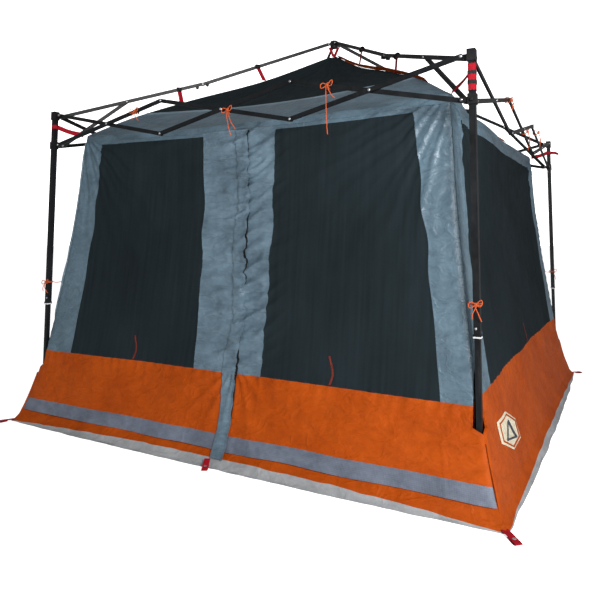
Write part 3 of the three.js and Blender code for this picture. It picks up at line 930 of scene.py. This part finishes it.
for number, place in enumerate([("door_left", -0.66, 0.462, 0.60), ("door_right", 0.70, 0.462, 0.60),
                                ("right", 0.05, 0.51, 0.63), ("back", -0.5, 0.51, 0.64),
                                ("back", 0.5, 0.51, 0.64), ("left", 0.05, 0.51, 0.63)]):
    rollup_tape(number, *place)

PATCH_X, PATCH_Z, PATCH_WIDE, PATCH_TALL = -1.04, 0.245, 0.42, 0.180
PATCH_SLANT = -0.22  # it is sewn on a little askew
PATCH_OUTLINE = [(0, 1), (1, 0.52), (1, -0.52), (0, -1), (-1, -0.52), (-1, 0.52)]


def on_patch(u, v, proud):
    """The point of the right wall that is u across and v up from the patch's middle."""
    return on_wall("right", PATCH_X + u, PATCH_Z + v + PATCH_SLANT * u, proud)


def patch_cloth():
    """The patch itself: rings of faces from its rim to its middle, one of them a border line."""
    rings, steps = 9, 6
    border = 1
    ring_size = len(PATCH_OUTLINE) * steps
    points, faces, paint, uvs = [], [], [], []
    for r in range(rings + 1):
        scale = 1 - r / rings * 0.999
        proud = {0: 0.0015, border: 0.0057}.get(r, 0.0045)
        for (a, b), (c, d) in zip(PATCH_OUTLINE, PATCH_OUTLINE[1:] + PATCH_OUTLINE[:1]):
            for s in range(steps):
                u = (a + (c - a) * s / steps) * scale * PATCH_WIDE / 2
                v = (b + (d - b) * s / steps) * scale * PATCH_TALL / 2
                points.append(tuple(on_patch(u, v, proud)))
                uvs.append((u, v))
    for r in range(rings):
        for k in range(ring_size):
            here, beside = r * ring_size + k, r * ring_size + (k + 1) % ring_size
            faces.append((here, beside, beside + ring_size, here + ring_size))
            paint.append(1 if r == border else 0)
    faces.append(tuple(range(rings * ring_size, (rings + 1) * ring_size)))
    paint.append(0)
    mesh = bpy.data.meshes.new("plain_patch")
    mesh.from_pydata(points, [], faces)
    layer = mesh.uv_layers.new(name="cloth")
    for loop in mesh.loops:
        layer.data[loop.index].uv = uvs[loop.vertex_index]
    mesh.materials.append(CREAM)
    mesh.materials.append(ORANGE)
    mesh.polygons.foreach_set("material_index", paint)
    mesh.shade_smooth()
    return add_object("plain_patch", mesh)


def patch():
    """A plain cream patch by the front corner: a pointed hexagon with a border and an outlined triangle."""
    peak, foot, half_foot, proud = 0.046, -0.036, 0.105, 0.0062
    parts = [patch_cloth()]
    up = np.linspace(0, 1, 10)
    for sign in (-1, 1):
        line = on_patch(sign * half_foot * (1 - up), foot + (peak - foot) * up, proud)
        parts.append(ribbon("patch_line_%d" % sign, line, side_direction("right"), 0.034, BINDING))
    across = 1.15 * half_foot * np.linspace(-1, 1, 12)
    line = on_patch(across, foot + 0 * across, proud)
    parts.append(ribbon("patch_foot", line, (0, 0, 1), 0.010, BINDING))
    hold(joined("plain_patch", parts), "shell_fabric", *PANELS["right"])


patch()


EYELET = [(0.0025, 0.0), (0.0078, 0.0), (0.009, 0.0012), (0.0072, 0.0026), (0.003, 0.0026)]


def peg_tab(name, root, tip, *panel):
    """A folded red loop with an eyelet, from the tent's edge to the peg's place."""
    root, tip = np.array(root, float), np.array(tip, float)
    run = tip - root
    way = run / np.linalg.norm(run)
    up = np.array([0, 0, 0.0035])
    path = smooth_path([root + up * 2, root + run * 0.5 + up * 2.2, tip + up, tip - way * 0.01 - up * 0.2,
                        root + run * 0.4], 26)
    tape = ribbon(name, path, np.cross(way, (0, 0, 1)), 0.032, RED, 0.0014)
    eye = revolved(name + "_eye", EYELET, root + run * 0.68 + up * 2.4, (0, 0, 1), RIVET)
    hold(tape, "groundsheet", *panel)
    hold(eye, "bracket", *panel)


TAB_ROOT, TAB_TIP_X, TAB_TIP_Y = 1.570, 1.642, 1.656
for name, (sx, sy) in CORNERS.items():
    peg_tab("peg_tab_" + name, (sx * TAB_ROOT, sy * TAB_ROOT, 0.006),
            (sx * TAB_TIP_X, sy * TAB_TIP_Y, 0.002), LEG_BODY[name], (sx, sy, 0), (sx * LEG, sy * LEG, 0))
peg_tab("peg_tab_front", (0.050, -1.590, 0.034), (0.082, -1.655, 0.002), *PANELS["front"])


# ---- fittings on the frame ----
UP = Vector((0, 0, 1))
LAYER_FACE = 0.0118  # a bar's outer face from the middle of its linkage
SIDE_FRAMES = {"front": ("fl", "fr"), "left": ("fl", "bl"), "right": ("fr", "br"), "back": ("bl", "br")}


DOME = [(1, 0), (0.98, 0.35), (0.8, 0.72), (0.45, 1), (0.1, 1.06)]  # shares of its radius and height


def dome(name, place, axis, radius=0.0074, height=0.0036):
    profile = [(radius * r, height * h) for r, h in DOME]
    return revolved(name, profile, place, axis, RIVET, 16)


def linkage_frame(side):
    """Where a side's linkage starts, the way along it, and the way across it."""
    start, end = (Vector((CORNERS[c][0] * LEG, CORNERS[c][1] * LEG, 0)) for c in SIDE_FRAMES[side])
    along = (end - start).normalized()
    return start, along, UP.cross(along)


def rivets(name, body, points, across):
    """Bright heads on both faces of a linkage at some of its pivots."""
    heads = [dome("%s_%d_%d" % (name, k, sign), Vector(point) + across * sign * LAYER_FACE, across * sign)
             for k, point in enumerate(points) for sign in (-1, 1)]
    hold(joined(name, heads), "bracket", body)


FALLING = {1: 0, 4: 1, 5: 2}  # the arms that fall from cap to slider height, and their crosses
for side, (first, last) in SIDE_FRAMES.items():
    start, along, across = linkage_frame(side)
    for arm, cross in FALLING.items():
        x = PIVOT_OUT + cross * CROSS
        ends = [(x, CAP_Z), (x + CROSS / 2, (CAP_Z + SLIDER_Z) / 2), (x + CROSS, SLIDER_Z)]
        points = [start + along * a + UP * z for a, z in ends]
        rivets("rivets_%s_%d" % (side, arm), "arm_%s_%d" % (side, arm), points, across)
    near_slider = start + along * PIVOT_OUT + UP * SLIDER_Z
    rivets("rivet_slider_%s_%s" % (side, first), "slider_" + first, [near_slider], across)
    far_cap = start + along * (2 * LEG - PIVOT_OUT) + UP * CAP_Z
    rivets("rivet_cap_%s_%s" % (side, last), LEG_BODY[last], [far_cap], across)

DIAGONAL_OUT, HUB_OUT = 0.055, 0.05  # the rafters' pivots from a leg's axis and from the hub's
RAFTER = 1.0  # length of a lower rafter
RAFTER_SLOPE = math.radians(18)
STRUT_AT = 0.4349  # the strut's pivot along the lower rafter


def diagonal_point(corner, out, z):
    """A point of a corner's upright diagonal plane, out metres from the leg's axis."""
    sx, sy = CORNERS[corner]
    k = LEG - out / math.sqrt(2)
    return Vector((sx * k, sy * k, z))


def lower_rafter(corner, along):
    return diagonal_point(corner, DIAGONAL_OUT + along * math.cos(RAFTER_SLOPE),
                          CAP_Z + along * math.sin(RAFTER_SLOPE))


def upper_rafter(corner, share):
    hub_end = diagonal_point(corner, LEG * math.sqrt(2) - HUB_OUT, HUB_Z)
    return lower_rafter(corner, RAFTER).lerp(hub_end, share)


def across_diagonal(corner):
    sx, sy = CORNERS[corner]
    return Vector((sy, -sx, 0)).normalized()


for corner in CORNERS:
    pivots = [("cap_", LEG_BODY[corner], diagonal_point(corner, DIAGONAL_OUT, CAP_Z)),
              ("slider_", "slider_" + corner, diagonal_point(corner, DIAGONAL_OUT, SLIDER_Z)),
              ("strut_", "strut_" + corner, lower_rafter(corner, STRUT_AT)),
              ("rafter_", "rafter_upper_" + corner, upper_rafter(corner, 1.0)),
              ("knee_", "rafter_lower_" + corner, upper_rafter(corner, 0.0))]
    for part, body, point in pivots:
        rivets("rivet_" + part + corner, body, [point], across_diagonal(corner))

RING = [(0.0178, 0.0), (0.0188, 0.001), (0.0188, 0.0065), (0.0178, 0.0075)]
BUTTON = [(0.0095, 0.0), (0.0095, 0.006), (0.008, 0.0085), (0.003, 0.0092)]
LUG = [(0.009, -0.013), (0.0115, -0.011), (0.0115, 0.011), (0.009, 0.013)]
for corner, (sx, sy) in CORNERS.items():
    tube_end = (sx * LEG, sy * LEG, TUBE_BOTTOM - 0.0006)
    ring = revolved("tube_ring_" + corner, RING, tube_end, UP, WHITE, box=True)
    hold(ring, "bracket", LEG_BODY[corner])
    snap = dome("snap_button_" + corner, (sx * (LEG - 0.004), sy * (LEG + 0.0152), TUBE_BOTTOM + 0.042),
                (0, sy, 0), 0.0065, 0.006)
    hold(snap, "bracket", LEG_BODY[corner])
    release = revolved("slider_button_" + corner, BUTTON, (sx * LEG, sy * (LEG + 0.0198), SLIDER_Z - 0.004),
                       (0, sy, 0), PLASTIC, 18)
    hold(release, "bracket", "slider_" + corner)
    for k, (rafter, spot) in enumerate((("rafter_lower_", lower_rafter(corner, RAFTER - 0.040)),
                                        ("rafter_upper_", upper_rafter(corner, 0.036)))):
        name = "knee_lug_%s_%d" % (corner, k)
        lug = revolved(name, LUG, spot - UP * 0.017, across_diagonal(corner), PLASTIC, 16)
        hold(lug, "bracket", rafter + corner)


# ---- red straps ----
def strap(name, top, foot, body, side, width=0.032):
    """A red strap that hangs the roof from a bar."""
    path = smooth_path([top, (top + foot) / 2, foot], 22)
    hold(ribbon(name, path, side, width, RED, 0.0016), "groundsheet", body)


def strap_loop(name, centre, body, side):
    """The short black loop of a strap round its bar."""
    reach = 0.0148
    out = side.cross(UP).normalized()
    around = [centre + out * reach * math.sin(a) + UP * (reach * math.cos(a) + 0.0008) for a in circle(24)]
    hold(ribbon(name, around + around[:1], side, 0.0368, BLACK_TAPE, 0.0022), "bracket", body)


def hip_point(corner, h):
    sx, sy = CORNERS[corner]
    return Vector((sx * h, sy * h, float(roof_height(h)) + 0.004))


for corner, (sx, sy) in CORNERS.items():
    inward = Vector((-sx, -sy, 0)).normalized()
    for name, body, top, h in (("strap_low_", "rafter_lower_", lower_rafter(corner, 0.82), 0.845),
                               ("strap_high_", "rafter_upper_", upper_rafter(corner, 0.42), 0.405)):
        strap(name + corner, top, hip_point(corner, h), body + corner, inward)
        strap_loop(name + corner + "_loop", top, body + corner, inward)

for k, shift in enumerate((-1, 1)):
    strap("strap_peak_%d" % k, Vector((shift * 0.034, shift * 0.012, HUB_Z - 0.022)),
          Vector((shift * 0.002, shift * 0.001, 2.669)), "hub", (1, 0.5, 0), 0.022)

WRAP_Z = 1.972


def leg_wrap(name, corner, z, material, height=0.026, grow=0.0):
    """A band round a leg."""
    sx, sy = CORNERS[corner]
    reach = 0.0168 + grow
    ring = []
    for k, a in enumerate(circle(44)):
        square = 0.62 * max(abs(math.cos(a)), abs(math.sin(a))) + 0.38
        ring.append((sx * LEG + reach * math.cos(a) / square, sy * LEG + reach * math.sin(a) / square,
                     z + 0.002 * math.sin(a + k)))
    hold(ribbon(name, ring + ring[:1], UP, height, material, 0.0018), "groundsheet", LEG_BODY[corner])


def corner_strap(corner, z, twist=0.0):
    """A strap from a leg to the tent's corner under it."""
    sx, sy = CORNERS[corner]
    start = Vector((sx * (LEG - 0.0115), sy * (LEG - 0.0115), z))
    end = Vector((sx * 1.318, sy * 1.318, EAVES_Z + 0.004))
    path = smooth_path([start, start.lerp(end, 0.5) - UP * 0.008, end], 18)
    lean = (0.3 * sx * twist, -0.3 * sy * twist, 1)
    tape = ribbon("corner_strap_" + corner, path, lean, 0.032, RED, 0.0018)
    hold(tape, "groundsheet", LEG_BODY[corner])


for corner in ("fl", "bl", "br"):
    leg_wrap("leg_wrap_" + corner, corner, WRAP_Z, RED)
    corner_strap(corner, WRAP_Z)
for k, wrap in enumerate([(1.992, RED, 0.034, 0.0), (1.966, BLACK_TAPE, 0.016, 0.0022),
                          (1.946, RED, 0.032, 0.0012), (1.921, BLACK_TAPE, 0.018, 0.0026),
                          (1.900, RED, 0.034, 0.0004)]):
    leg_wrap("leg_wrap_fr_%d" % k, "fr", *wrap)
corner_strap("fr", 1.975, 1.0)
tail = smooth_path([(LEG + 0.017, LEG, WRAP_Z), (LEG + 0.05, LEG - 0.01, 1.969),
                    (LEG + 0.085, LEG - 0.01, 1.955)], 12)
hold(ribbon("leg_wrap_tail_br", tail, UP, 0.024, RED, 0.0016), "groundsheet", LEG_BODY["br"])

# ---- orange cord ties ----
CORD_RADIUS = 0.0024


def tie(name, place, along, outward, body, tails, reach=0.0225, bows=0.045, upright=False):
    """A cord wound twice round a bar and tied in a bow: wraps, knot, two loops, and two free tails."""
    place, along, outward = Vector(place), Vector(along).normalized(), Vector(outward).normalized()
    up = along.cross(outward).normalized()
    if up.z < 0:
        up = -up
    lines = []
    for shift in (-0.0035, 0.0035):
        turn = []
        for a in circle(32):
            c, d = math.cos(a), math.sin(a)
            if upright:
                square = reach * 0.72 / (c**4 + d**4) ** 0.25
                turn.append(place + up * shift + outward * square * c + along * square * d)
            else:
                turn.append(place + along * (shift + 0.002 * c) + outward * reach * c * 0.78
                            + up * reach * d * 0.8)
        lines.append(turn)
    knot = place + outward * (reach * 0.78 + 0.005)
    for tilt in (0.0, 1.1, 2.2):
        lines.append([knot + (along * math.cos(a) + up * math.sin(a) * math.cos(tilt)
                              + outward * math.sin(a) * math.sin(tilt)) * 0.0062 for a in circle(20)])
    for sign, rise in ((-1, -0.35), (1, 1)):
        loop = []
        for a in circle(26):
            pull = math.sin(a / 2)
            lift = 0.013 * math.sin(a) + 0.30 * bows * pull**2 * rise
            loop.append(knot + along * sign * bows * pull * 0.78 + up * lift + outward * (0.006 * pull))
        lines.append(loop)
    hold(tube(name, lines, CORD_RADIUS, CORD, closed=True), "groundsheet", body)
    for k, (length, lean) in enumerate(tails):
        start = knot + outward * 0.0035 - up * 0.006 + along * (0.004 if k else -0.004)
        drop = length * math.sqrt(max(0.05, 1 - lean * lean))
        points = []
        for s in np.linspace(0, 1, 24):
            sway = 0.012 * math.sin(s * 5 + k * 2) * s
            points.append(tuple(start + along * (lean * length * s + sway * 0.4)
                                + outward * (0.010 * math.sin(s * math.pi) + sway * 0.3) - UP * (drop * s)))
        line = np.array(points)
        tail = tube("%s_tail_%d" % (name, k), [line], CORD_RADIUS, CORD)
        hold(tail, "groundsheet", body)


def side_tie(side, number, share, tails):
    """A tie round one of a side's arms, a share of the way along its cross."""
    arm = {0: 2, 1: 4, 2: 5}[number]
    start, along, _ = linkage_frame(side)
    first, last = (CAP_Z, SLIDER_Z) if arm in FALLING else (SLIDER_Z, CAP_Z)
    point = start + along * (PIVOT_OUT + (number + share) * CROSS) + UP * (first + (last - first) * share)
    outward = turned((0, -1, 0), QUARTER[side])
    tie("tie_%s_%d" % (side, arm), point, along, outward, "arm_%s_%d" % (side, arm), tails)


# three ties a side: how far along its cross each sits, then the length and lean of its two tails
HIDDEN_TIES = [(0.78, ((0.080, 0.3), (0.060, -0.3))), (0.56, ((0.120, 0.1), (0.100, 0.3))),
               (0.25, ((0.110, 0.2), (0.080, 0.4)))]
SIDE_TIES = {
    "front": [(0.78, ((0.075, 0.6), (0.055, -0.3))), (0.56, ((0.150, 0.25), (0.125, 0.45))),
              (0.25, ((0.255, 0.05), (0.080, 0.5)))],
    "right": [(0.90, ((0.060, 0.3), (0.045, -0.3))), (0.55, ((0.125, 0.1), (0.090, 0.3))),
              (0.15, ((0.115, 0.35), (0.080, 0.2)))],
    "back": HIDDEN_TIES,
    "left": HIDDEN_TIES,
}
for side, ties in SIDE_TIES.items():
    for number, (share, tails) in enumerate(ties):
        side_tie(side, number, share, tails)

LEG_TIE_Z = 0.905
for corner, (sx, sy) in CORNERS.items():
    tie("leg_tie_" + corner, (sx * LEG, sy * LEG, LEG_TIE_Z), (1, 0, 0), (0, sy, 0), LEG_BODY[corner],
        ((0.075, 0.45), (0.060, -0.35)), reach=0.026, bows=0.040, upright=True)
    link = smooth_path([(sx * (LEG - 0.012), sy * (LEG - 0.018), LEG_TIE_Z), (sx * 1.42, sy * 1.42, 0.90),
                        (sx * 1.392, sy * 1.392, LEG_TIE_Z)], 12)
    hold(tube("leg_tie_link_" + corner, [link], CORD_RADIUS, CORD), "groundsheet", LEG_BODY[corner])


# ---- floor and light ----
def studio_piece(name, shade, low, high, scale, glow):
    """Names the newest object, colours it, lets it glow and hides it from glossy rays."""
    obj = bpy.context.object
    obj.name = name
    tone = shade.ramp(shade.noise(shade.object, scale), (0.3, gray(low)), (0.7, gray(high)))
    shade.glow(tone, glow)
    obj.data.materials.append(shade.finish(tone))
    obj.visible_glossy = False
    return obj


def softbox(name, place, target, size, power):
    lamp = bpy.data.lights.new(name, "AREA")
    lamp.shape = "RECTANGLE"
    lamp.size, lamp.size_y = size
    lamp.energy = power
    obj = add_object(name, lamp)
    obj.location = place
    obj.rotation_euler = (Vector(target) - Vector(place)).to_track_quat("-Z", "Y").to_euler()


def sun(name, place, power, spread, glossy=True):
    lamp = bpy.data.lights.new(name, "SUN")
    lamp.energy = power
    lamp.angle = math.radians(spread)
    obj = add_object(name, lamp)
    obj.rotation_euler = (-Vector(place)).to_track_quat("-Z", "Y").to_euler()
    obj.visible_glossy = glossy


bpy.ops.mesh.primitive_plane_add(size=400, location=(0, 0, -0.001))
studio_piece("studio_floor", Shade("studio_floor", 0.9, 0.1), 0.91, 0.93, 0.4, 0.72)
softbox("key", (3.7, -4.0, 2.3), (0.3, -1.2, 1.0), (1.3, 1.3), 290)
sun("window", (2.6, -2.6, 2.4), 0.75, 12)
sun("back", (-4.0, 5.0, 6.0), 0.6, 40, glossy=False)
world = bpy.data.worlds.new("studio")
world.use_nodes = True
world.node_tree.nodes["Background"].inputs["Color"].default_value = gray(1)
world.node_tree.nodes["Background"].inputs["Strength"].default_value = 0.25
bpy.context.scene.world = world
bpy.ops.mesh.primitive_uv_sphere_add(segments=64, ring_count=32, radius=95, location=(0, 0, 0))
backdrop = studio_piece("studio_backdrop", Shade("studio_backdrop", 1.0, 0.0), 0.99, 1, 0.02, 1.0)
for ray in ("visible_diffuse", "visible_transmission", "visible_shadow", "visible_volume_scatter"):
    setattr(backdrop, ray, False)
bpy.context.scene.view_settings.view_transform = "Standard"

bpy.context.view_layer.update()
